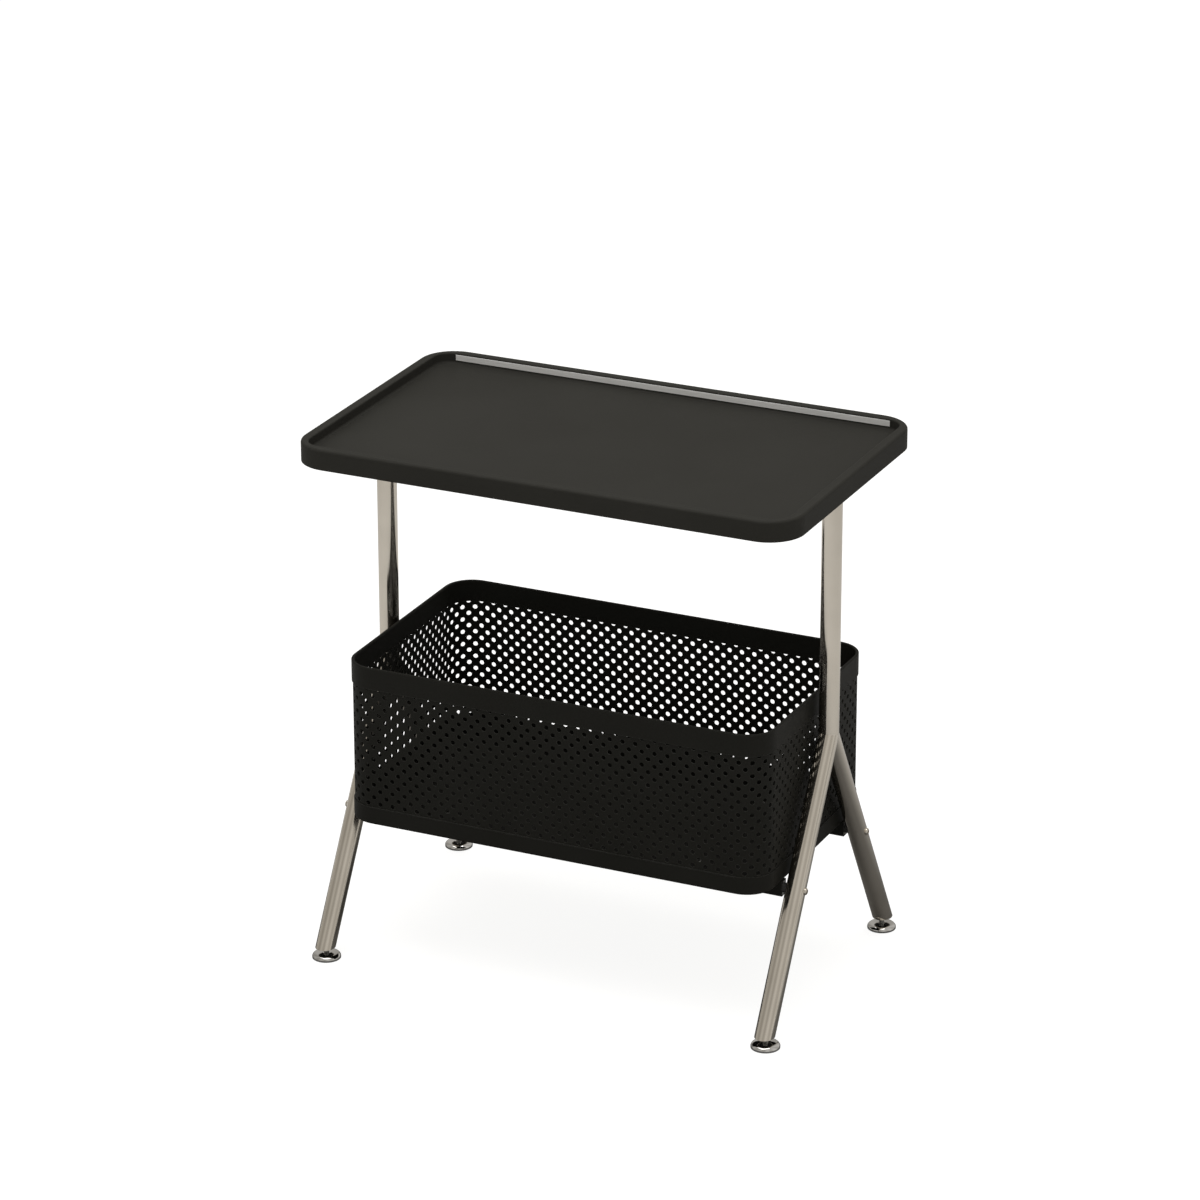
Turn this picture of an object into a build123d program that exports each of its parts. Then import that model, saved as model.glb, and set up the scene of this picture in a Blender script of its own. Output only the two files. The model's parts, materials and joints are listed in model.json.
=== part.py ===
from build123d import *
from math import atan2, cos, hypot, sin, sqrt, tan
import os

os.makedirs("parts", exist_ok=True)

# A side table: a recessed tray on two welded Y-shaped tube frames, with a sheet metal basket
# hung between the legs on two crossbars, and four screw-in levelling feet.
# Millimetres, +Z up, the front towards -Y. The origin is on the floor below the tray's centre.

# Overall
table_length = 580.0            # along X
table_depth = 355.0             # along Y
table_height = 603.0            # floor to the top of the rim

# Tray, a moulded shell
tray_thickness = 23.0           # height of its outer skirt
tray_corner_radius = 40.0
tray_rim_width = 11.5           # outer side to the recess
tray_recess_depth = 12.0
tray_recess_corner_radius = 20.0
tray_wall = 3.0
tray_top_edge_radius = 3.0
tray_recess_edge_radius = 1.6
tray_recess_foot_radius = 3.0
tray_rib_count_x = 7
tray_rib_count_y = 4
tray_rib_thickness = 2.4
tray_rib_height = 4.5
tray_rib_gap = 2.0              # between the ribs and the plates

# Metal strip let into the rear rim
strip_height = 6.6
strip_thickness = 1.4
strip_end_inset = 29.0          # from the tray's end to the strip's end
strip_proud = 0.4               # how far it stands out of the rim
strip_top_drop = 2.0            # below the top of the rim

# Tubes of the two side frames
tube_diameter = 22.0
tube_wall = 1.5
leg_plane_inset = 26.0          # from the tray's end to the tube axes
leg_node_height = 300.0         # where the three axes of a frame meet
leg_end_reach = 166.0           # from the middle to the centre of a leg's lower end, along Y
leg_end_height = 14.0           # the legs are cut level, this far above the floor
leg_bevel_run = 22.0            # spare length that the level cut takes off

# Plates that carry the tray
plate_thickness = 3.0
plate_width = 46.0              # along X
plate_depth = 120.0             # along Y
plate_corner_radius = 8.0
plate_outset = 4.0              # the plate's centre lies this much nearer the middle than the tube
plate_screw_spacing_x = 26.0
plate_screw_spacing_y = 92.0
tray_screw_diameter = 4.0
tray_screw_length = 8.0
tray_boss_diameter = 10.0

# End plugs of the legs, pressed in from below
plug_length = 20.0
plug_clearance = 0.05
plug_recess = 0.5               # above the tube's end

# Levelling feet
foot_offset = 2.0               # stud axis inboard of the leg's end centre
foot_diameter = 32.0
foot_rim_height = 2.6
foot_dome_height = 7.2
foot_rim_lean = 0.3             # slope of the dome's outline where it leaves the rim
foot_neck_lean = 0.1            # and where it meets the neck
foot_wall = 1.2
foot_neck_radius = 5.5
foot_lip_gap = 0.6              # chrome cup's lower edge above the floor
sole_thickness = 1.9
stud_diameter = 6.0
stud_length = 23.6
stud_head_diameter = 10.0
stud_head_thickness = 2.7
stud_play = 0.3                 # above and below the stud's head
stud_chamfer = 0.6
running_clearance = 0.08
foot_hole_spare = 3.5           # hole beyond the stud's end, for screwing in

# Basket
basket_length = 500.0
basket_depth = 286.0
basket_bottom = 161.0
basket_top = 346.0
basket_corner_radius = 33.0
basket_sheet = 1.2
basket_top_band_height = 25.0
basket_bottom_band_height = 21.0
basket_bead_radius = 0.8        # raised line along the bottom band's upper edge
basket_bend_radius = 3.0
basket_fold_radius = 1.08       # of the top band's folded edges

# Crossbars below the basket, bolted to the legs
bar_width = 12.0
bar_height = 18.0
bar_wall = 1.5
bar_end_gap = 3.0               # bar end to the tube's side, filled by a saddle
bar_edge_radius = 1.5
saddle_diameter = 11.0
leg_bolt_diameter = 5.0
leg_bolt_length = 44.0
leg_bolt_head_diameter = 8.0
leg_bolt_head_height = 2.4
end_nut_length = 14.0
basket_screw_spacing_x = 300.0
basket_screw_diameter = 4.0
basket_screw_length = 8.0
basket_nut_width = 7.0
basket_nut_height = 3.2
hole_clearance = 0.25           # radial, in bolt and screw holes
screw_head_diameter = 7.6       # of the M4 screws
screw_head_height = 2.2
screw_head_root = 0.6           # how far a shank runs into its head
head_lip_share = 0.25           # upright part of a domed head, over its height
socket_share = 0.28             # corner radius of a hexagonal socket over the head's diameter
socket_floor_share = 0.4        # socket floor above the seat, over the head's height

# Worked out from the above
tube_radius = tube_diameter / 2
tube_bore = tube_radius - tube_wall
leg_plane_x = table_length / 2 - leg_plane_inset
leg_drop = leg_node_height - leg_end_height
leg_angle = atan2(leg_end_reach, leg_drop)
leg_length = hypot(leg_end_reach, leg_drop)
foot_reach = leg_end_reach - foot_offset
tray_bottom = table_height - tray_thickness
tray_surface = table_height - tray_recess_depth
tray_ceiling = tray_surface - tray_wall
plate_top = tray_bottom + plate_thickness
bar_top = basket_bottom
bar_centre_height = bar_top - bar_height / 2
bar_y = (leg_node_height - bar_centre_height) * tan(leg_angle)
bar_length = 2 * (leg_plane_x - tube_radius - bar_end_gap)
basket_wall_inset = basket_sheet
basket_wall_outer_x = basket_length - 2 * basket_wall_inset
basket_wall_outer_y = basket_depth - 2 * basket_wall_inset
basket_wall_radius = basket_corner_radius - basket_wall_inset
pan_top = basket_bottom + basket_sheet
stud_bottom = sole_thickness + stud_play
stud_top = stud_bottom + stud_length

sides = {"left": -1, "right": 1}
ends = {"front": -1, "rear": 1}


def leg_direction(end):
    """Unit vector down a leg."""
    return Vector(0, end * sin(leg_angle), -cos(leg_angle))


def mitre_plane(side, end):
    """Plane between an upright and a leg, facing the upright."""
    normal = Vector(0, 0, 1) - leg_direction(end)
    return Plane(origin=(side * leg_plane_x, 0, leg_node_height), x_dir=(1, 0, 0), z_dir=normal)


def button_head(seat, diameter, height):
    """A domed screw head with a hexagonal socket, resting on the seat plane."""
    with BuildPart() as head:
        with BuildSketch(Plane(seat.origin, seat.x_dir, seat.x_dir.cross(seat.z_dir))):
            with BuildLine():
                base = Line((0, 0), (diameter / 2, 0))
                lip = Line(base @ 1, (diameter / 2, height * head_lip_share))
                dome = Spline(lip @ 1, (0, height), tangents=((0, 1), (-1, 0)))
                Line(dome @ 1, (0, 0))
            make_face()
        revolve(axis=Axis(seat.origin, seat.z_dir))
        with BuildSketch(seat.offset(height * socket_floor_share)):
            RegularPolygon(diameter * socket_share, 6)
        extrude(amount=height, mode=Mode.SUBTRACT)
    return head.part


# Tray: a shell with a recess on top, a hollow rim and ribs underneath
screw_spots = [
    (side * (leg_plane_x - plate_outset) + dx, dy)
    for side in sides.values()
    for dx in (-plate_screw_spacing_x / 2, plate_screw_spacing_x / 2)
    for dy in (-plate_screw_spacing_y / 2, plate_screw_spacing_y / 2)
]
recess_length = table_length - 2 * tray_rim_width
recess_depth_y = table_depth - 2 * tray_rim_width
strip_length = table_length - 2 * strip_end_inset
strip_back = recess_depth_y / 2 + strip_thickness - strip_proud
strip_top = table_height - strip_top_drop

with BuildPart() as tray_top:
    with BuildSketch(Plane.XY.offset(tray_bottom)):
        RectangleRounded(table_length, table_depth, tray_corner_radius)
    extrude(amount=tray_thickness)
    fillet(tray_top.faces().sort_by(Axis.Z)[-1].edges(), tray_top_edge_radius)
    with BuildSketch(Plane.XY.offset(tray_surface)):
        RectangleRounded(recess_length, recess_depth_y, tray_recess_corner_radius)
    extrude(amount=tray_recess_depth, mode=Mode.SUBTRACT)
    recess_floor, rim_top = tray_top.faces().filter_by(Axis.Z).sort_by(Axis.Z)[-2:]
    fillet(recess_floor.edges(), tray_recess_foot_radius)
    rim_top = tray_top.faces().filter_by(Axis.Z).sort_by(Axis.Z)[-1]
    fillet(rim_top.inner_wires()[0].edges(), tray_recess_edge_radius)
    with BuildSketch(Plane.XY.offset(tray_bottom)):
        RectangleRounded(table_length - 2 * tray_wall, table_depth - 2 * tray_wall,
                         tray_corner_radius - tray_wall)
    extrude(amount=tray_ceiling - tray_bottom, mode=Mode.SUBTRACT)
    with BuildSketch(Plane.XY.offset(tray_ceiling)):
        RectangleRounded(table_length - 2 * tray_wall, table_depth - 2 * tray_wall,
                         tray_corner_radius - tray_wall)
        RectangleRounded(recess_length + 2 * tray_wall, recess_depth_y + 2 * tray_wall,
                         tray_recess_corner_radius + tray_wall, mode=Mode.SUBTRACT)
    extrude(amount=table_height - tray_wall - tray_ceiling, mode=Mode.SUBTRACT)
    with BuildSketch(Plane.XY.offset(tray_ceiling)):
        rib_pitch_x = table_length / (tray_rib_count_x + 1)
        rib_pitch_y = table_depth / (tray_rib_count_y + 1)
        with GridLocations(rib_pitch_x, 1, tray_rib_count_x, 1):
            Rectangle(tray_rib_thickness, table_depth - 2 * tray_wall)
        with GridLocations(1, rib_pitch_y, 1, tray_rib_count_y):
            Rectangle(table_length - 2 * tray_wall, tray_rib_thickness)
    extrude(amount=-tray_rib_height)
    for side in sides.values():
        with BuildSketch(Plane.XY.offset(plate_top)):
            with Locations((side * (leg_plane_x - plate_outset), 0)):
                Rectangle(plate_width + 2 * tray_rib_gap, plate_depth + 2 * tray_rib_gap)
        extrude(amount=tray_ceiling - plate_top, mode=Mode.SUBTRACT)
    with BuildSketch(Plane.XY.offset(plate_top)):
        with Locations(*screw_spots):
            Circle(tray_boss_diameter / 2)
    extrude(amount=tray_ceiling - plate_top)
    with Locations(*[(x, y, plate_top) for x, y in screw_spots]):
        Cylinder(tray_screw_diameter / 2, tray_screw_length - plate_thickness,
                 align=(Align.CENTER, Align.CENTER, Align.MIN), mode=Mode.SUBTRACT)
    with Locations((0, strip_back, strip_top)):
        Box(strip_length, strip_thickness, strip_height,
            align=(Align.CENTER, Align.MAX, Align.MAX), mode=Mode.SUBTRACT)
tray_top.part.label = "tray_top"
export_step(tray_top.part, "parts/tray_top.step")

with BuildPart() as tray_rear_strip:
    with Locations((0, strip_back, strip_top)):
        Box(strip_length, strip_thickness, strip_height,
            align=(Align.CENTER, Align.MAX, Align.MAX))
    front_edges = tray_rear_strip.faces().sort_by(Axis.Y)[0].edges()
    chamfer(front_edges, strip_proud / 2)
tray_rear_strip.part.label = "tray_rear_strip"
export_step(tray_rear_strip.part, "parts/tray_rear_strip.step")

# Screws that hold the tray to the plates, driven from below
tray_screw_heads = [
    button_head(Plane(origin=(x, y, tray_bottom), x_dir=(1, 0, 0), z_dir=(0, 0, -1)),
                screw_head_diameter, screw_head_height)
    for x, y in screw_spots
]
with BuildPart() as tray_screws:
    add(tray_screw_heads)
    with BuildSketch(Plane.XY.offset(tray_bottom - screw_head_root)):
        with Locations(*screw_spots):
            Circle(tray_screw_diameter / 2)
    extrude(amount=tray_screw_length + screw_head_root)
tray_screws.part.label = "tray_screws"
export_step(tray_screws.part, "parts/tray_screws.step")

# Side frames
for side_name, side in sides.items():
    plate_centre_x = side * (leg_plane_x - plate_outset)

    with BuildPart() as top_plate:
        with BuildSketch(Plane.XY.offset(tray_bottom)):
            with Locations((plate_centre_x, 0)):
                RectangleRounded(plate_width, plate_depth, plate_corner_radius)
            with Locations(*[spot for spot in screw_spots if spot[0] * side > 0]):
                Circle(tray_screw_diameter / 2 + hole_clearance, mode=Mode.SUBTRACT)
        extrude(amount=plate_thickness)
    top_plate.part.label = f"{side_name}_top_plate"
    export_step(top_plate.part, f"parts/{side_name}_top_plate.step")

    with BuildPart() as upright:
        with BuildSketch(Plane.XY.offset(leg_node_height - tube_radius)):
            with Locations((side * leg_plane_x, 0)):
                Circle(tube_radius)
                Circle(tube_bore, mode=Mode.SUBTRACT)
        extrude(amount=tray_bottom - leg_node_height + tube_radius)
        for end in ends.values():
            split(bisect_by=mitre_plane(side, end), keep=Keep.TOP)
    upright.part.label = f"{side_name}_upright"
    export_step(upright.part, f"parts/{side_name}_upright.step")

    for end_name, end in ends.items():
        start = Vector(side * leg_plane_x, 0, leg_node_height) - leg_direction(end) * tube_diameter
        bolt_spot = (side * leg_plane_x, end * bar_y, bar_centre_height)
        with BuildPart() as leg:
            with BuildSketch(Plane(origin=start, x_dir=(1, 0, 0), z_dir=leg_direction(end))):
                Circle(tube_radius)
                Circle(tube_bore, mode=Mode.SUBTRACT)
            extrude(amount=tube_diameter + leg_length + leg_bevel_run)
            split(bisect_by=Plane.XY.offset(leg_end_height), keep=Keep.TOP)
            split(bisect_by=mitre_plane(side, end), keep=Keep.BOTTOM)
            split(bisect_by=Plane(origin=(0, 0, 0), x_dir=(1, 0, 0), z_dir=(0, end, 0)),
                  keep=Keep.TOP)
            with Locations(Plane(origin=bolt_spot, z_dir=(1, 0, 0))):
                Cylinder(leg_bolt_diameter / 2 + hole_clearance, 2 * tube_diameter,
                         mode=Mode.SUBTRACT)
        leg.part.label = f"{side_name}_{end_name}_leg"
        export_step(leg.part, f"parts/{side_name}_{end_name}_leg.step")

        leg_end_centre = (side * leg_plane_x, end * leg_end_reach, leg_end_height)
        plug_plane = Plane(origin=leg_end_centre, x_dir=(1, 0, 0), z_dir=leg_direction(end) * -1)
        with BuildPart() as end_plug:
            with BuildSketch(plug_plane.offset(-leg_bevel_run)):
                Circle(tube_bore - plug_clearance)
            extrude(amount=leg_bevel_run + plug_length)
            split(bisect_by=Plane.XY.offset(leg_end_height + plug_recess), keep=Keep.TOP)
            with Locations((side * leg_plane_x, end * foot_reach, 0)):
                Cylinder(stud_diameter / 2 + running_clearance, stud_top + foot_hole_spare,
                         align=(Align.CENTER, Align.CENTER, Align.MIN), mode=Mode.SUBTRACT)
        end_plug.part.label = f"{side_name}_{end_name}_end_plug"
        export_step(end_plug.part, f"parts/{side_name}_{end_name}_end_plug.step")

        # Levelling foot: a chrome cup on a plain sole, turning freely on the head of its stud
        foot_plane = Plane(origin=(side * leg_plane_x, end * foot_reach, 0), x_dir=(1, 0, 0),
                           z_dir=(0, -1, 0))
        foot_axis = Axis(foot_plane.origin, (0, 0, 1))
        cavity_top = stud_bottom + stud_head_thickness + stud_play
        cup_bore = stud_diameter / 2 + running_clearance
        cup_inner = foot_diameter / 2 - foot_wall
        with BuildPart() as foot_cup:
            with BuildSketch(foot_plane):
                with BuildLine():
                    rim = Line((foot_diameter / 2, foot_lip_gap),
                               (foot_diameter / 2, foot_rim_height))
                    dome = Spline(rim @ 1, (foot_neck_radius, foot_dome_height),
                                  tangents=((-foot_rim_lean, 1), (-1, foot_neck_lean)))
                    Polyline(dome @ 1, (cup_bore, foot_dome_height), (cup_bore, cavity_top),
                             (foot_neck_radius, cavity_top), (cup_inner, sole_thickness),
                             (cup_inner, foot_lip_gap), rim @ 0)
                make_face()
            revolve(axis=foot_axis)
        foot_cup.part.label = f"{side_name}_{end_name}_foot_cup"
        export_step(foot_cup.part, f"parts/{side_name}_{end_name}_foot_cup.step")

        with BuildPart() as foot_sole:
            with BuildSketch():
                with Locations((side * leg_plane_x, end * foot_reach)):
                    Circle(cup_inner)
            extrude(amount=sole_thickness)
            chamfer(foot_sole.edges().sort_by(Axis.Z)[0], foot_lip_gap / 2)
        foot_sole.part.label = f"{side_name}_{end_name}_foot_sole"
        export_step(foot_sole.part, f"parts/{side_name}_{end_name}_foot_sole.step")

        with BuildPart() as foot_stud:
            with BuildSketch(Plane.XY.offset(stud_bottom)):
                with Locations((side * leg_plane_x, end * foot_reach)):
                    Circle(stud_head_diameter / 2)
            extrude(amount=stud_head_thickness)
            with BuildSketch(Plane.XY.offset(stud_bottom)):
                with Locations((side * leg_plane_x, end * foot_reach)):
                    Circle(stud_diameter / 2)
            extrude(amount=stud_length)
            chamfer(foot_stud.edges().sort_by(Axis.Z)[-1], stud_chamfer)
        foot_stud.part.label = f"{side_name}_{end_name}_foot_stud"
        export_step(foot_stud.part, f"parts/{side_name}_{end_name}_foot_stud.step")

# Basket: a rolled wall with a folded band over its top edge, standing in a shallow pan
with BuildPart() as basket_wall:
    with BuildSketch(Plane.XY.offset(pan_top)):
        RectangleRounded(basket_wall_outer_x, basket_wall_outer_y, basket_wall_radius)
        offset(amount=-basket_sheet, mode=Mode.SUBTRACT)
    extrude(amount=basket_top - basket_sheet - pan_top)
basket_wall.part.label = "basket_wall"
export_step(basket_wall.part, "parts/basket_wall.step")

with BuildPart() as basket_top_band:
    with BuildSketch(Plane.XY.offset(basket_top - basket_top_band_height)):
        RectangleRounded(basket_length, basket_depth, basket_corner_radius)
        offset(amount=-3 * basket_sheet, mode=Mode.SUBTRACT)
    extrude(amount=basket_top_band_height)
    fillet(basket_top_band.faces().sort_by(Axis.Z)[-1].edges(), basket_fold_radius)
    with BuildSketch(Plane.XY.offset(basket_top - basket_top_band_height)):
        RectangleRounded(basket_wall_outer_x, basket_wall_outer_y, basket_wall_radius)
        offset(amount=-basket_sheet, mode=Mode.SUBTRACT)
    extrude(amount=basket_top_band_height - basket_sheet, mode=Mode.SUBTRACT)
basket_top_band.part.label = "basket_top_band"
export_step(basket_top_band.part, "parts/basket_top_band.step")

bar_screw_spots = [
    (dx, end * bar_y)
    for dx in (-basket_screw_spacing_x / 2, basket_screw_spacing_x / 2)
    for end in ends.values()
]
with BuildPart() as basket_base_pan:
    with BuildSketch(Plane.XY.offset(basket_bottom)):
        RectangleRounded(basket_length, basket_depth, basket_corner_radius)
    extrude(amount=basket_bottom_band_height)
    fillet(basket_base_pan.faces().sort_by(Axis.Z)[0].edges(), basket_bend_radius)
    with BuildSketch(Plane.XY.offset(pan_top)):
        RectangleRounded(basket_wall_outer_x, basket_wall_outer_y, basket_wall_radius)
    extrude(amount=basket_bottom_band_height, mode=Mode.SUBTRACT)
    with Locations(*[(x, y, pan_top) for x, y in bar_screw_spots]):
        Hole(basket_screw_diameter / 2 + hole_clearance, 2 * basket_sheet)
    # a rolled bead along the straight part of the upper edge, front and rear
    for end in ends.values():
        bead_start = (-basket_length / 2 + basket_corner_radius,
                      end * (basket_depth / 2 - basket_bead_radius / 2),
                      basket_bottom + basket_bottom_band_height - basket_bead_radius)
        with BuildSketch(Plane(origin=bead_start, x_dir=(0, 1, 0), z_dir=(1, 0, 0))):
            Circle(basket_bead_radius)
        extrude(amount=basket_length - 2 * basket_corner_radius)
    with BuildSketch(Plane.XY.offset(pan_top)):
        RectangleRounded(basket_wall_outer_x, basket_wall_outer_y, basket_wall_radius)
    extrude(amount=basket_bottom_band_height, mode=Mode.SUBTRACT)
basket_base_pan.part.label = "basket_base_pan"
export_step(basket_base_pan.part, "parts/basket_base_pan.step")

# Screws down through the pan, and the nuts that they meet inside the crossbars
basket_screw_heads = [
    button_head(Plane(origin=(x, y, pan_top), x_dir=(1, 0, 0), z_dir=(0, 0, 1)),
                screw_head_diameter, screw_head_height)
    for x, y in bar_screw_spots
]
with BuildPart() as basket_screws:
    add(basket_screw_heads)
    with BuildSketch(Plane.XY.offset(pan_top + screw_head_root)):
        with Locations(*bar_screw_spots):
            Circle(basket_screw_diameter / 2)
    extrude(amount=-basket_screw_length - screw_head_root)
basket_screws.part.label = "basket_screws"
export_step(basket_screws.part, "parts/basket_screws.step")

with BuildPart() as basket_nuts:
    with BuildSketch(Plane.XY.offset(bar_top - bar_wall)):
        with Locations(*bar_screw_spots):
            RegularPolygon(basket_nut_width / 2, 6, major_radius=False)
            Circle(basket_screw_diameter / 2, mode=Mode.SUBTRACT)
    extrude(amount=-basket_nut_height)
basket_nuts.part.label = "basket_nuts"
export_step(basket_nuts.part, "parts/basket_nuts.step")

# Crossbars, with the nut blocks in their ends that take the leg bolts
for end_name, end in ends.items():
    bar_plane = Plane(origin=(-bar_length / 2, end * bar_y, bar_centre_height),
                      x_dir=(0, 1, 0), z_dir=(1, 0, 0))
    with BuildPart() as crossbar:
        with BuildSketch(bar_plane):
            RectangleRounded(bar_width, bar_height, bar_edge_radius)
            RectangleRounded(bar_width - 2 * bar_wall, bar_height - 2 * bar_wall,
                             bar_edge_radius / 2, mode=Mode.SUBTRACT)
        extrude(amount=bar_length)
        with Locations(*[(x, y, bar_top) for x, y in bar_screw_spots if y * end > 0]):
            Hole(basket_screw_diameter / 2 + hole_clearance, 2 * bar_wall)
    crossbar.part.label = f"{end_name}_crossbar"
    export_step(crossbar.part, f"parts/{end_name}_crossbar.step")

leg_bolt_spots = [(side, end) for side in sides.values() for end in ends.values()]
with BuildPart() as crossbar_end_nuts:
    for side, end in leg_bolt_spots:
        block_plane = Plane(origin=(side * bar_length / 2, end * bar_y, bar_centre_height),
                            x_dir=(0, 1, 0), z_dir=(-side, 0, 0))
        with BuildSketch(block_plane):
            RectangleRounded(bar_width - 2 * bar_wall, bar_height - 2 * bar_wall,
                             bar_edge_radius / 2)
            Circle(leg_bolt_diameter / 2, mode=Mode.SUBTRACT)
        extrude(amount=end_nut_length)
crossbar_end_nuts.part.label = "crossbar_end_nuts"
export_step(crossbar_end_nuts.part, "parts/crossbar_end_nuts.step")

# Saddles between the bar ends and the round tubes
with BuildPart() as leg_saddles:
    for side, end in leg_bolt_spots:
        saddle_plane = Plane(origin=(side * bar_length / 2, end * bar_y, bar_centre_height),
                             x_dir=(0, 1, 0), z_dir=(side, 0, 0))
        with BuildSketch(saddle_plane):
            Circle(saddle_diameter / 2)
            Circle(leg_bolt_diameter / 2 + hole_clearance, mode=Mode.SUBTRACT)
        extrude(amount=bar_end_gap + tube_radius / 2)
        with BuildSketch(Plane(origin=(side * leg_plane_x, 0, leg_node_height),
                               x_dir=(1, 0, 0), z_dir=leg_direction(end))):
            Circle(tube_radius)
        extrude(amount=leg_length, mode=Mode.SUBTRACT)
leg_saddles.part.label = "leg_saddles"
export_step(leg_saddles.part, "parts/leg_saddles.step")

# Bolts from outside through the legs into the end nuts, their heads hollowed to fit the tube
head_sink = tube_radius - sqrt(tube_radius ** 2 - (leg_bolt_head_diameter / 2) ** 2)
head_face_x = leg_plane_x + tube_radius - head_sink
leg_bolt_heads = [
    button_head(Plane(origin=(side * head_face_x, end * bar_y, bar_centre_height),
                      x_dir=(0, 1, 0), z_dir=(side, 0, 0)),
                leg_bolt_head_diameter, leg_bolt_head_height + head_sink)
    for side, end in leg_bolt_spots
]
with BuildPart() as leg_bolts:
    add(leg_bolt_heads)
    for side, end in leg_bolt_spots:
        with BuildSketch(Plane(origin=(side * leg_plane_x, 0, leg_node_height),
                               x_dir=(1, 0, 0), z_dir=leg_direction(end))):
            Circle(tube_radius)
        extrude(amount=leg_length, mode=Mode.SUBTRACT)
    for side, end in leg_bolt_spots:
        with BuildSketch(Plane(origin=(side * (leg_plane_x + tube_radius), end * bar_y,
                                       bar_centre_height),
                               x_dir=(0, 1, 0), z_dir=(-side, 0, 0))):
            Circle(leg_bolt_diameter / 2)
        extrude(amount=leg_bolt_length)
leg_bolts.part.label = "leg_bolts"
export_step(leg_bolts.part, "parts/leg_bolts.step")
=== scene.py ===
import bmesh
import bpy
import json
from math import cos, floor, pi, radians, sin
from mathutils import Matrix, Vector


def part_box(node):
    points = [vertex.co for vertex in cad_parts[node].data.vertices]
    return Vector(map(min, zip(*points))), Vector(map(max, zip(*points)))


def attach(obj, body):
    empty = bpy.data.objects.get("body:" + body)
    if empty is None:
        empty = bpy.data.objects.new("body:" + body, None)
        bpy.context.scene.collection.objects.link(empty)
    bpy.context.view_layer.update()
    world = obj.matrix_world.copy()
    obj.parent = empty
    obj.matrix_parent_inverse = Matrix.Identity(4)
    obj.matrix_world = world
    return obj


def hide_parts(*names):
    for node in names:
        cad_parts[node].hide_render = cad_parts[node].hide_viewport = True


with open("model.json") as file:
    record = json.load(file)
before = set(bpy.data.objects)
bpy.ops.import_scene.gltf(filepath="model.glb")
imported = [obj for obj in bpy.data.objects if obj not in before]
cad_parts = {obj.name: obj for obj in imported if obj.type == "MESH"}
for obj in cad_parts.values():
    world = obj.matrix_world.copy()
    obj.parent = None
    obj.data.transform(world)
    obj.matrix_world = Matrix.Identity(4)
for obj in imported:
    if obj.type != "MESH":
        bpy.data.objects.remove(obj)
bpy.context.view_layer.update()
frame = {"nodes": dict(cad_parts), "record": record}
nodes = frame["nodes"]
scene = bpy.context.scene
mm = 0.001

sides = ("left", "right")
ends = ("front", "rear")

cameraPlace = {
    "azimuth": 25.057,      # degrees, 0 looks along +Y
    "elevation": 21.699,
    "roll": -0.096,
    "distance": 5.6746,     # metres from the aim point
    "aimHeight": 0.300,     # the aim point on the table's middle line
    "aimRight": -0.00593,   # then moved this much in the picture's own plane
    "aimUp": 0.10199,
    "lens": 156.03,
    "sensor": 36.0,
}


def addCamera(place):
    az, el = radians(place["azimuth"]), radians(place["elevation"])
    back = Vector((sin(az) * cos(el), -cos(az) * cos(el), sin(el)))
    right = (-back).cross(Vector((0, 0, 1))).normalized()
    up = right.cross(-back)
    turn = radians(place["roll"])
    right, up = right * cos(turn) + up * sin(turn), up * cos(turn) - right * sin(turn)
    aim = Vector((0, 0, place["aimHeight"])) + right * place["aimRight"] + up * place["aimUp"]
    data = bpy.data.cameras.new("camera")
    data.lens, data.sensor_width = place["lens"], place["sensor"]
    data.clip_end = 100
    camera = bpy.data.objects.new("camera", data)
    scene.collection.objects.link(camera)
    turned = Matrix((right, up, back)).transposed().to_4x4()
    camera.matrix_world = Matrix.Translation(aim + back * place["distance"]) @ turned
    scene.camera = camera


addCamera(cameraPlace)


class Wire:
    # one output socket; arithmetic on it adds Math nodes
    def __init__(self, finish, socket):
        self.finish, self.socket = finish, socket

    def math(self, operation, *others, clamp=False):
        settings = {"operation": operation, "use_clamp": clamp}
        return self.finish.put("Math", settings, dict(enumerate((self,) + others)))

    def __add__(self, other):
        return self.math("ADD", other)

    def __sub__(self, other):
        return self.math("SUBTRACT", other)

    def __mul__(self, other):
        return self.math("MULTIPLY", other)

    def __truediv__(self, other):
        return self.math("DIVIDE", other)

    def __radd__(self, other):
        return self.math("ADD", other)

    def __rmul__(self, other):
        return self.math("MULTIPLY", other)

    def __rsub__(self, other):
        return self.finish.put("Math", {"operation": "SUBTRACT"}, {0: other, 1: self})

    def clamped(self):
        return self.math("ADD", 0.0, clamp=True)


edgeGain = 6.0                   # how quickly the edge mask for the painted edge highlight reaches 1


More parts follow.
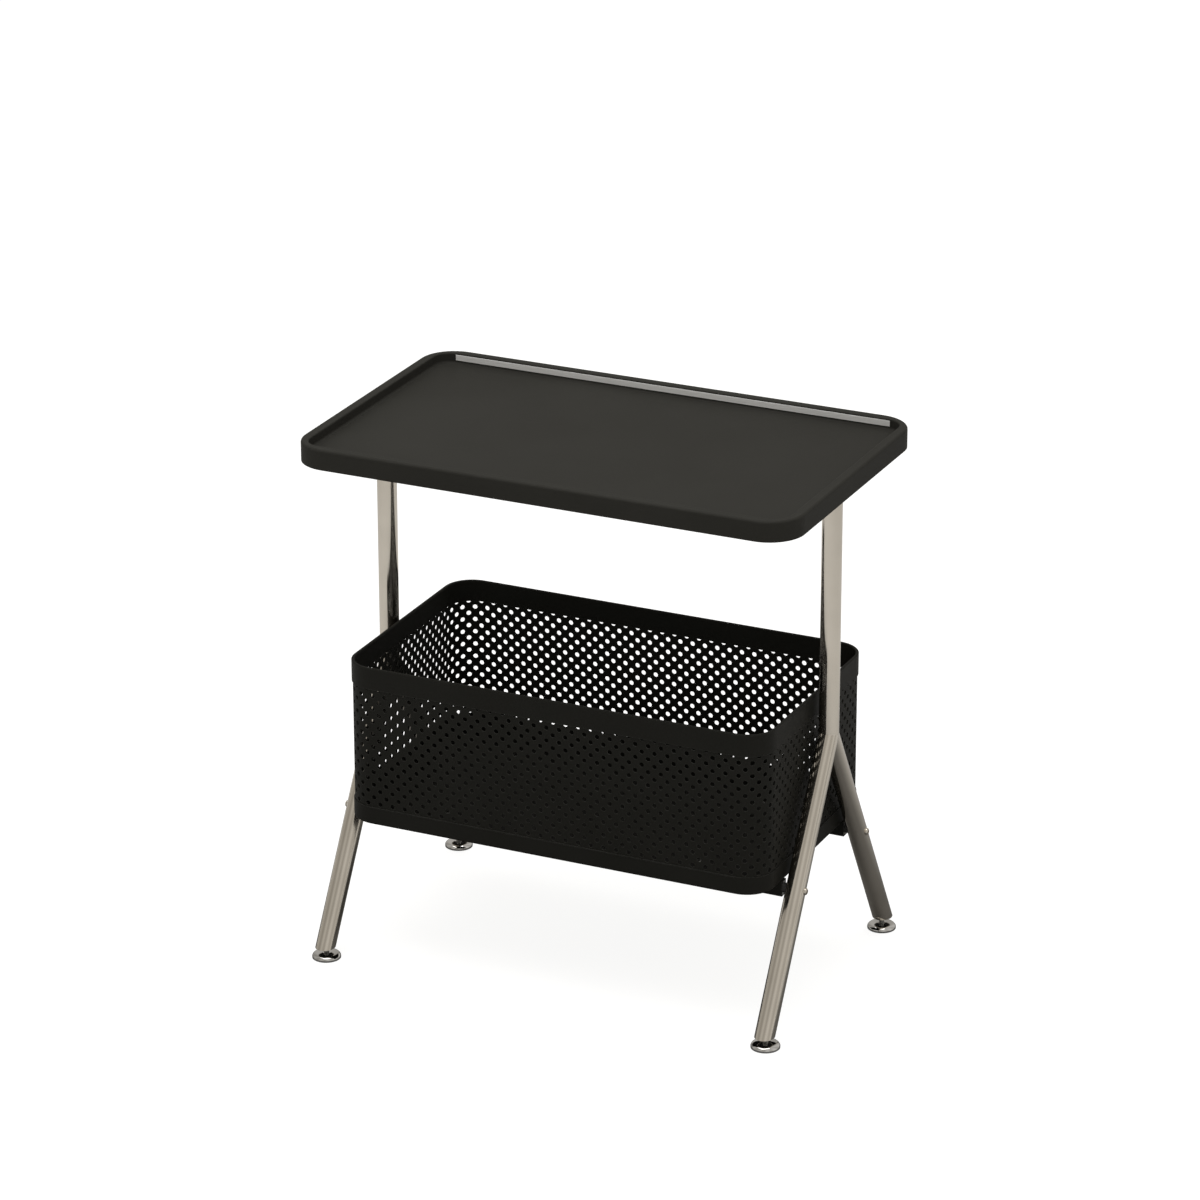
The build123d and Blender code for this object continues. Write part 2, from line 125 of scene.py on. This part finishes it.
class Finish:
    # one material and the nodes that go into it
    def __init__(self, name):
        self.material = bpy.data.materials.new(name)
        self.material.use_nodes = True
        self.tree = self.material.node_tree
        self.tree.nodes.clear()

    def put(self, kind, settings=None, sockets=None, out=0):
        node = self.tree.nodes.new("ShaderNode" + kind)
        for name, value in (settings or {}).items():
            if name == "stops":
                ramp = node.color_ramp
                while len(ramp.elements) > 1:
                    ramp.elements.remove(ramp.elements[-1])
                for i, (place, level) in enumerate(value):
                    stop = ramp.elements[0] if i == 0 else ramp.elements.new(place)
                    stop.position = place
                    stop.color = (level, level, level, 1)
            else:
                setattr(node, name, value)
        for name, value in (sockets or {}).items():
            if isinstance(value, Wire):
                self.tree.links.new(value.socket, node.inputs[name])
            else:
                node.inputs[name].default_value = value
        return Wire(self, node.outputs[out])

    def place(self):
        return self.put("TexCoord", out="Object")

    def stretched(self, scale):
        return self.put("Mapping", None, {"Vector": self.place(), "Scale": scale})

    def noise(self, scale, detail=2.0, roughness=0.5, vector=None):
        sockets = {"Vector": vector or self.place(), "Scale": scale, "Detail": detail,
                   "Roughness": roughness}
        return self.put("TexNoise", None, sockets)

    def ramp(self, value, stops):
        return self.put("ValToRGB", {"stops": stops}, {"Fac": value})

    def blend(self, factor, low, high):
        sockets = {0: factor, 6: low, 7: high}
        return self.put("Mix", {"data_type": "RGBA"}, sockets, out=2)

    def bump(self, height, strength, distance):
        return self.put("Bump", None, {"Height": height, "Strength": strength,
                                       "Distance": distance})

    def edges(self, radius):
        # 1 on rounded or sharp edges, 0 on flats
        soft = self.put("Bevel", {"samples": 4}, {"Radius": radius})
        hard = self.put("NewGeometry", out="Normal")
        dot = self.put("VectorMath", {"operation": "DOT_PRODUCT"}, {0: soft, 1: hard}, out="Value")
        return ((1.0 - dot) * edgeGain).clamped()

    def finish(self, shader):
        end = self.tree.nodes.new("ShaderNodeOutputMaterial")
        self.tree.links.new(shader.socket, end.inputs["Surface"])
        return self.material

    def close(self, sockets):
        return self.finish(self.put("BsdfPrincipled", None, sockets))


def mouldedBlack():
    look = {"deep": (0.0270, 0.0262, 0.0225, 1), "dusty": (0.0320, 0.0312, 0.0272, 1),
            "roughness": 0.58, "grain": 0.9 * mm}
    f = Finish("mouldedBlack")
    grain = f.noise(1 / look["grain"], 3.0, 0.6)
    cloud = f.noise(7.0, 4.0, 0.55)
    colour = f.blend(f.ramp(cloud, [(0.35, 0.0), (0.7, 1.0)]), look["deep"], look["dusty"])
    roughness = look["roughness"] + (cloud - 0.5) * 0.12 + (grain - 0.5) * 0.1
    return f.close({"Base Color": colour, "Roughness": roughness, "Specular IOR Level": 0.08,
                    "Normal": f.bump(grain, 0.18, 0.2 * mm)})


def powderBlack():
    look = {"paint": (0.0150, 0.0148, 0.0122, 1), "worn": (0.0200, 0.0196, 0.0168, 1),
            "paintedHighlight": (0.070, 0.069, 0.064, 1), "edge": 0.7 * mm, "roughness": 0.52}
    f = Finish("powderBlack")
    peel = f.noise(420.0, 2.0, 0.5)
    cloud = f.noise(11.0, 3.0, 0.5)
    colour = f.blend(f.ramp(cloud, [(0.4, 0.0), (0.75, 0.6)]), look["paint"], look["worn"])
    # painted highlight: edges and beads are lightened in the base colour, in patches set by noise
    paintedHighlight = f.edges(look["edge"]) * f.ramp(f.noise(60.0, 3.0, 0.6), [(0.3, 0.35), (0.6, 1.0)])
    colour = f.blend(paintedHighlight, colour, look["paintedHighlight"])
    roughness = look["roughness"] + (cloud - 0.5) * 0.14 + (peel - 0.5) * 0.06
    return f.close({"Base Color": colour, "Roughness": roughness, "Specular IOR Level": 0.10,
                    "Normal": f.bump(peel, 0.12, 0.15 * mm)})


def polishedNickel():
    look = {"metal": (0.74, 0.685, 0.60, 1), "dull": (0.66, 0.61, 0.53, 1), "roughness": 0.13}
    f = Finish("polishedNickel")
    hazy = f.noise(16.0, 3.0, 0.55)
    fine = f.noise(900.0, 2.0, 0.5)
    colour = f.blend(f.ramp(hazy, [(0.4, 0.0), (0.8, 1.0)]), look["metal"], look["dull"])
    roughness = look["roughness"] + (hazy - 0.5) * 0.1
    return f.close({"Base Color": colour, "Metallic": 1.0, "Roughness": roughness,
                    "Normal": f.bump(fine, 0.05, 0.05 * mm)})


def brightChrome():
    look = {"metal": (0.72, 0.71, 0.69, 1), "dull": (0.60, 0.59, 0.57, 1), "roughness": 0.06}
    f = Finish("brightChrome")
    hazy = f.noise(60.0, 3.0, 0.55)
    colour = f.blend(f.ramp(hazy, [(0.45, 0.0), (0.8, 1.0)]), look["metal"], look["dull"])
    roughness = look["roughness"] + (hazy - 0.5) * 0.08
    return f.close({"Base Color": colour, "Metallic": 1.0, "Roughness": roughness})


def satinAluminium():
    look = {"metal": (0.86, 0.855, 0.84, 1), "dull": (0.76, 0.755, 0.74, 1), "roughness": 0.45}
    f = Finish("satinAluminium")
    brushed = f.noise(1.0, 3.0, 0.6, f.stretched((18.0, 2600.0, 2600.0)))
    colour = f.blend(brushed, look["dull"], look["metal"])
    roughness = look["roughness"] + (brushed - 0.5) * 0.2
    return f.close({"Base Color": colour, "Metallic": 0.12, "Roughness": roughness,
                    "Normal": f.bump(brushed, 0.08, 0.05 * mm)})


def zincSteel():
    look = {"metal": (0.50, 0.50, 0.48, 1), "dull": (0.36, 0.36, 0.35, 1), "roughness": 0.30}
    f = Finish("zincSteel")
    hazy = f.noise(260.0, 3.0, 0.6)
    colour = f.blend(hazy, look["dull"], look["metal"])
    roughness = look["roughness"] + (hazy - 0.5) * 0.2
    return f.close({"Base Color": colour, "Metallic": 1.0, "Roughness": roughness,
                    "Normal": f.bump(hazy, 0.08, 0.08 * mm)})


def solePlastic():
    look = {"deep": (0.018, 0.018, 0.018, 1), "pale": (0.035, 0.034, 0.033, 1), "roughness": 0.6}
    f = Finish("solePlastic")
    grain = f.noise(700.0, 3.0, 0.6)
    colour = f.blend(grain, look["deep"], look["pale"])
    roughness = look["roughness"] + (grain - 0.5) * 0.2
    return f.close({"Base Color": colour, "Roughness": roughness,
                    "Normal": f.bump(grain, 0.2, 0.1 * mm)})


finishes = {
    "black_plastic": mouldedBlack(),
    "black_steel": powderBlack(),
    "nickel_tube": polishedNickel(),
    "chrome": brightChrome(),
    "satin_metal": satinAluminium(),
    "zinc_steel": zincSteel(),
    "sole_plastic": solePlastic(),
}
print("finishes made:", len(finishes))


def dress(piece, slotName):
    piece.data.materials.clear()
    piece.data.materials.append(finishes[slotName])


smoothLimit = radians(28)       # edges sharper than this stay crisp


def smooth(piece):
    piece.data.shade_smooth()
    piece.data.set_sharp_from_angle(angle=smoothLimit)


for entry in frame["record"]["subparts"]:
    dress(nodes[entry["node"]], entry["material_slot"])
    smooth(nodes[entry["node"]])


def addPiece(name, points, faces, slotName, body):
    mesh = bpy.data.meshes.new(name)
    mesh.from_pydata(points, [], faces)
    mesh.validate()
    piece = bpy.data.objects.new(name, mesh)
    scene.collection.objects.link(piece)
    dress(piece, slotName)
    smooth(piece)
    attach(piece, body)
    return piece


wallSheet = {
    "cornerRadius": 31.8 * mm,
    "sheet": 1.2 * mm,
    "columnsWanted": 7.5 * mm,   # column pitch, fitted to the whole girth
    "rowPitch": 7.5 * mm,        # half the spacing down one column
    "holeRadius": 2.75 * mm,
    "firstRow": 25.0 * mm,       # centre of the first row below the basket's top edge
    "holeRows": 19,
    "plainRows": 4,              # rows without holes above and below, behind the bands
}


def girthPoint(halfX, halfY, radius, s):
    # a point on a rounded rectangle and its outward normal, s along the girth from the
    # middle of the right side
    stretches = [(halfY - radius, None, 0), (None, (halfX - radius, halfY - radius), 0),
                 (2 * (halfX - radius), None, 90), (None, (-halfX + radius, halfY - radius), 90),
                 (2 * (halfY - radius), None, 180), (None, (-halfX + radius, -halfY + radius), 180),
                 (2 * (halfX - radius), None, 270), (None, (halfX - radius, -halfY + radius), 270),
                 (halfY - radius, None, 360)]
    starts = [(halfX, 0), None, (halfX - radius, halfY), None, (-halfX, halfY - radius), None,
              (-halfX + radius, -halfY), None, (halfX, -halfY + radius)]
    for (length, centre, facing), start in zip(stretches, starts):
        span = pi / 2 * radius if length is None else length
        if s > span:
            s -= span
            continue
        if length is None:
            a = radians(facing) + s / radius
            return Vector((centre[0] + radius * cos(a), centre[1] + radius * sin(a), 0)), \
                Vector((cos(a), sin(a), 0))
        a = radians(facing)
        along = Vector((-sin(a), cos(a), 0))
        return Vector((start[0], start[1], 0)) + along * s, Vector((cos(a), sin(a), 0))
    return Vector((halfX, 0, 0)), Vector((1, 0, 0))


def perforatedWall(look):
    low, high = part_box("basket_wall")
    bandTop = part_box("basket_top_band")[1].z
    halfX, halfY, radius = high.x, high.y, look["cornerRadius"]
    girth = 4 * (halfX + halfY - 2 * radius) + 2 * pi * radius
    columns = 2 * round(girth / look["columnsWanted"] / 2)
    pitch = girth / columns
    step = look["rowPitch"]
    # boundary of one cell, a column wide and two rows high, and the hole's rim, quarter by quarter
    outline = [(0.5, 0), (0.5, 1 / 3), (0.5, 2 / 3), (0.5, 1), (0, 1)]
    quarter = outline[:4]
    ring = []
    for i in range(4):
        part = quarter if i % 2 == 0 else [(x, y) for x, y in reversed(outline[1:])]
        signX = 1 if i in (0, 3) else -1
        signY = 1 if i in (0, 1) else -1
        ring += [(x * signX, y * signY) for x, y in part]
    points, faces, known = [], [], {}

    def point(column, row, outside):
        # column in pitches round the girth, row in steps down from the first row
        z = min(max(bandTop - look["firstRow"] - row * step, low.z), high.z)
        key = (round(column % columns, 4) % columns, round(z / mm, 4), outside)
        if key not in known:
            spot, normal = girthPoint(halfX, halfY, radius, key[0] * pitch)
            if not outside:
                spot = spot - normal * look["sheet"]
            known[key] = len(points)
            points.append((spot.x, spot.y, z))
        return known[key]

    def face(corners, outside):
        corners = [c for i, c in enumerate(corners) if c != corners[i - 1]]
        level = {round(points[c][2], 7) for c in corners}
        if len(corners) > 2 and len(level) > 1:
            faces.append(corners if outside else corners[::-1])

    count = len(ring)
    plainRows = look["plainRows"]
    for column in range(columns):
        for row in range(-plainRows, look["holeRows"] + plainRows):
            if (row + column) % 2:
                continue
            holed = 0 <= row < look["holeRows"]
            rims = []
            for outside in (True, False):
                edge = [point(column + x, row - y, outside) for x, y in ring]
                turns = [2 * pi * i / count for i in range(count)] if holed else []
                rim = [point(column + look["holeRadius"] * cos(a) / pitch,
                             row - look["holeRadius"] * sin(a) / step, outside) for a in turns]
                middle = None if holed else point(column, row, outside)
                for i in range(count):
                    j = (i + 1) % count
                    inner = [rim[j], rim[i]] if holed else [middle]
                    face([edge[i], edge[j]] + inner, outside)
                rims.append(rim)
            if holed:
                outer, inner = rims
                for i in range(count):
                    j = (i + 1) % count
                    faces.append((outer[i], outer[j], inner[j], inner[i]))
    # close the sheet along its two cut edges
    for z, flip in ((high.z, False), (low.z, True)):
        level = round(z / mm, 4)
        places = sorted({key[0] for key in known if key[1] == level})
        for here, there in zip(places, places[1:] + places[:1]):
            strip = (known[here, level, True], known[there, level, True],
                     known[there, level, False], known[here, level, False])
            faces.append(strip[::-1] if flip else strip)
    return addPiece("basketWallSheet", points, faces, "black_steel", "root")


wall = perforatedWall(wallSheet)
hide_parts("basket_wall")
print("basket wall:", len(wall.data.polygons), "faces")


mergeGap = 0.01 * mm             # points nearer than this become one
sliverGap = 0.001 * mm


def cleanMesh(piece):
    # merge points that coincide, drop slivers and turn every face outwards
    work = bmesh.new()
    work.from_mesh(piece.data)
    bmesh.ops.remove_doubles(work, verts=work.verts, dist=mergeGap)
    bmesh.ops.dissolve_degenerate(work, edges=work.edges, dist=sliverGap)
    bmesh.ops.recalc_face_normals(work, faces=work.faces)
    work.to_mesh(piece.data)
    work.free()


threadedStud = {
    "radius": 3.0 * mm,
    "headHeight": 2.7 * mm,
    "headEdge": 0.4 * mm,        # rounding of the head's two rims
    "pitch": 1.0 * mm,
    "depth": 0.55 * mm,
    "turnSteps": 32,
    "pitchSteps": 6,
    "crest": 1.35,               # above 1, the thread's crests are flat
    "lead": 1.2 * mm,            # the thread runs out over this length at the tip
}


def addThreadedStud(side, end, look):
    # a right-hand thread above a flat captive head
    name = f"{side}_{end}_foot_stud"
    low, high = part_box(name)
    centre = (low + high) / 2
    headRadius = (high.x - low.x) / 2
    edge, headTop = look["headEdge"], low.z + look["headHeight"]
    rows = [(0.0, low.z), (headRadius - edge, low.z), (headRadius, low.z + edge),
            (headRadius, headTop - edge), (headRadius - edge, headTop)]
    top = high.z
    z = headTop
    step = look["pitch"] / look["pitchSteps"]
    while z < top:
        rows.append((None, z))
        z += step
    rows += [(None, top), (0.0, top)]
    points, faces = [], []
    turnSteps = look["turnSteps"]
    for radius, z in rows:
        for i in range(turnSteps):
            a = 2 * pi * i / turnSteps
            if radius is None:
                phase = z / look["pitch"] - i / turnSteps
                saw = abs(2 * (phase - floor(phase)) - 1)
                taper = min(1.0, (top - z) / look["lead"])
                r = look["radius"] - look["depth"] * (1 - min(1.0, look["crest"] * saw))
                r -= (1 - taper) * look["depth"]
            else:
                r = radius
            points.append((centre.x + r * cos(a), centre.y + r * sin(a), z))
    for k in range(len(rows) - 1):
        for i in range(turnSteps):
            j = (i + 1) % turnSteps
            faces.append((k * turnSteps + i, k * turnSteps + j,
                          (k + 1) * turnSteps + j, (k + 1) * turnSteps + i))
    stud = addPiece(f"{side}_{end}_threaded_stud", points, faces, "zinc_steel",
                    f"{side}_{end}_stud")
    cleanMesh(stud)
    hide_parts(name)


for side in sides:
    for end in ends:
        addThreadedStud(side, end, threadedStud)
print("studs threaded")


frameTubes = {
    "radius": 11.0 * mm,
    "wall": 1.5 * mm,
    "planeX": 264.0 * mm,        # the tube axes of a side frame lie in this plane
    "nodeHeight": 300.0 * mm,    # where its three axes meet
    "endReach": 166.0 * mm,
    "endHeight": 14.0 * mm,      # the legs are cut level here
    "turnSteps": 96,
}


def tubeRing(centre, along, radius, steps, cuts):
    # a ring of points on the tube, slid along its axis to the first cutting plane each one meets
    across = Vector((1, 0, 0))
    beside = along.cross(across).normalized()
    ring = []
    for i in range(steps):
        a = 2 * pi * i / steps
        spot = centre + across * radius * cos(a) + beside * radius * sin(a)
        slides = [(origin - spot).dot(normal) / along.dot(normal) for origin, normal in cuts]
        ring.append(spot + along * min(slides))
    return ring


def addTube(name, centre, along, nearCuts, farCuts, look):
    # nearCuts bound the start of the tube and farCuts its end, both seen from the centre
    steps = look["turnSteps"]
    rings = []
    for radius in (look["radius"], look["radius"] - look["wall"]):
        near = tubeRing(centre, -along, radius, steps, nearCuts)
        near = [near[-i % steps] for i in range(steps)]
        rings.append((near, tubeRing(centre, along, radius, steps, farCuts)))
    (outerNear, outerFar), (innerNear, innerFar) = rings
    points = [tuple(p) for ring in (outerNear, outerFar, innerNear, innerFar) for p in ring]
    faces = []
    for i in range(steps):
        j = (i + 1) % steps
        for low, high in ((0, 1), (3, 2), (2, 0), (1, 3)):
            faces.append((low * steps + i, low * steps + j, high * steps + j, high * steps + i))
    tube = addPiece(name, points, faces, "nickel_tube", "root")
    cleanMesh(tube)
    return tube


def addFrameTubes(side, sign, look):
    node = Vector((sign * look["planeX"], 0, look["nodeHeight"]))
    up = Vector((0, 0, 1))
    downs = []
    for end, way in (("front", -1), ("rear", 1)):
        foot = Vector((node.x, way * look["endReach"], look["endHeight"]))
        down = (foot - node).normalized()
        downs.append(down)
        mitre = (node, (up - down).normalized())
        middle = (node, Vector((0, 1, 0)))
        leg = addTube(f"{side}_{end}_smooth_leg", (node + foot) / 2, down, [mitre, middle],
                      [(foot, up)], look)
        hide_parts(f"{side}_{end}_leg")
    top = Vector((node.x, 0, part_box(f"{side}_upright")[1].z))
    mitres = [(node, (up - down).normalized()) for down in downs]
    upright = addTube(f"{side}_smooth_upright", (node + top) / 2, up, mitres, [(top, up)], look)
    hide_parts(f"{side}_upright")


for side, sign in zip(sides, (-1, 1)):
    addFrameTubes(side, sign, frameTubes)
print("frame tubes smoothed")


studio = {
    "floorSize": 60.0,                      # metres
    "paper": (0.34, 0.34, 0.338, 1),        # the sweep as the camera sees it
    "paperFold": (0.37, 0.37, 0.368, 1),
    "paperGlow": 0.86,                      # lifts the soft shadows on it
    "nearGrey": 0.20,                       # painted shade: the floor close to the table, as the polished tubes see it
    "farGrey": 0.74,                        # and further out
    "nearReach": 0.42,
    "farReach": 1.05,
    "sky": 0.50,
    "folds": 6.0,                           # upright folds round the walls
    "foldStart": 0.6,
    "foldDepth": 0.16,
    "rightGain": 0.18,
    "shade": (0.86, 0.80, 0.70, 1),
}


def addFloor(look):
    f = Finish("floor")
    tone = f.noise(1.3, 2.0, 0.5)
    colour = f.blend(tone, look["paper"], look["paperFold"])
    reach = f.put("VectorMath", {"operation": "LENGTH"}, {0: f.place()}, out="Value")
    # painted shade: to all but camera rays the floor runs from nearGrey close to the table out to
    # farGrey
    span = look["farReach"] - look["nearReach"]
    share = ((reach - look["nearReach"]) / span).clamped()
    grey = look["nearGrey"] + share * (look["farGrey"] - look["nearGrey"])
    cardColour = f.put("CombineColor", None, {0: grey, 1: grey, 2: grey})
    card = f.put("BsdfDiffuse", None, {"Color": cardColour})
    paper = f.put("BsdfDiffuse", None, {"Color": colour})
    glow = f.put("Emission", None, {"Color": (1, 1, 0.995, 1), "Strength": look["paperGlow"]})
    seen = f.put("AddShader", None, {0: paper, 1: glow})
    toCamera = f.put("LightPath", out="Is Camera Ray")
    material = f.finish(f.put("MixShader", None, {0: toCamera, 1: card, 2: seen}))
    half = look["floorSize"] / 2
    mesh = bpy.data.meshes.new("floor")
    mesh.from_pydata([(-half, -half, 0), (half, -half, 0), (half, half, 0), (-half, half, 0)],
                     [], [(0, 1, 2, 3)])
    mesh.materials.append(material)
    sweep = bpy.data.objects.new("floor", mesh)
    scene.collection.objects.link(sweep)


softboxes = {
    # name: (place, aim, width, height, radiance, shows in polished metal)
    "topBox": ((-0.2, -0.2, 3.2), (0, 0, 0.4), 2.6, 2.6, 2.5, True),
    "frontBox": ((0.1, -3.6, 2.4), (0, 0, 0.35), 2.6, 1.8, 0.55, False),
}


def addSoftbox(name, place, aim, width, height, radiance, glossy):
    data = bpy.data.lights.new(name, "AREA")
    data.shape, data.size, data.size_y = "RECTANGLE", width, height
    data.energy = radiance * pi * width * height
    light = bpy.data.objects.new(name, data)
    scene.collection.objects.link(light)
    light.location = place
    light.rotation_euler = (Vector(aim) - Vector(place)).to_track_quat("-Z", "Y").to_euler()
    light.visible_glossy = glossy


def addWorld(look):
    # even white behind the table, and soft grey walls with upright folds all round for the metal
    world = bpy.data.worlds.new("studio")
    scene.world = world
    world.use_nodes = True
    tree = world.node_tree

    def put(kind, operation=None, sockets=None, out=0):
        node = tree.nodes.new("ShaderNode" + kind)
        if operation:
            node.operation = operation
        for i, value in (sockets or {}).items():
            if isinstance(value, bpy.types.NodeSocket):
                tree.links.new(value, node.inputs[i])
            else:
                node.inputs[i].default_value = value
        return node.outputs[out]

    direction = put("TexCoord", out="Generated")
    parts = tree.nodes.new("ShaderNodeSeparateXYZ")
    tree.links.new(direction, parts.inputs[0])
    turn = put("Math", "ARCTAN2", {0: parts.outputs["Y"], 1: parts.outputs["X"]})
    wave = put("Math", "SINE", {0: put("Math", "MULTIPLY_ADD", {0: turn, 1: look["folds"],
                                                              2: look["foldStart"]})})
    depth = look["foldDepth"] * look["sky"]
    level = put("Math", "MULTIPLY_ADD", {0: wave, 1: depth, 2: look["sky"]})
    toRight = put("Math", "MULTIPLY_ADD", {0: parts.outputs["X"], 1: look["rightGain"], 2: 1.0})
    level = put("Math", "MULTIPLY", {0: level, 1: toRight})
    tint = put("MixRGB", None, {0: level, 1: look["shade"], 2: (1, 1, 1, 1)})
    toCamera = put("LightPath", out="Is Camera Ray")
    strength = put("Mix", None, {0: toCamera, 2: level, 3: 1.0})
    colour = put("MixRGB", None, {0: toCamera, 1: tint, 2: (1, 1, 1, 1)})
    back = tree.nodes["Background"]
    tree.links.new(strength, back.inputs["Strength"])
    tree.links.new(colour, back.inputs["Color"])


addFloor(studio)
addWorld(studio)
for boxName, values in softboxes.items():
    addSoftbox(boxName, *values)
scene.view_settings.view_transform = "Standard"
print("studio set")
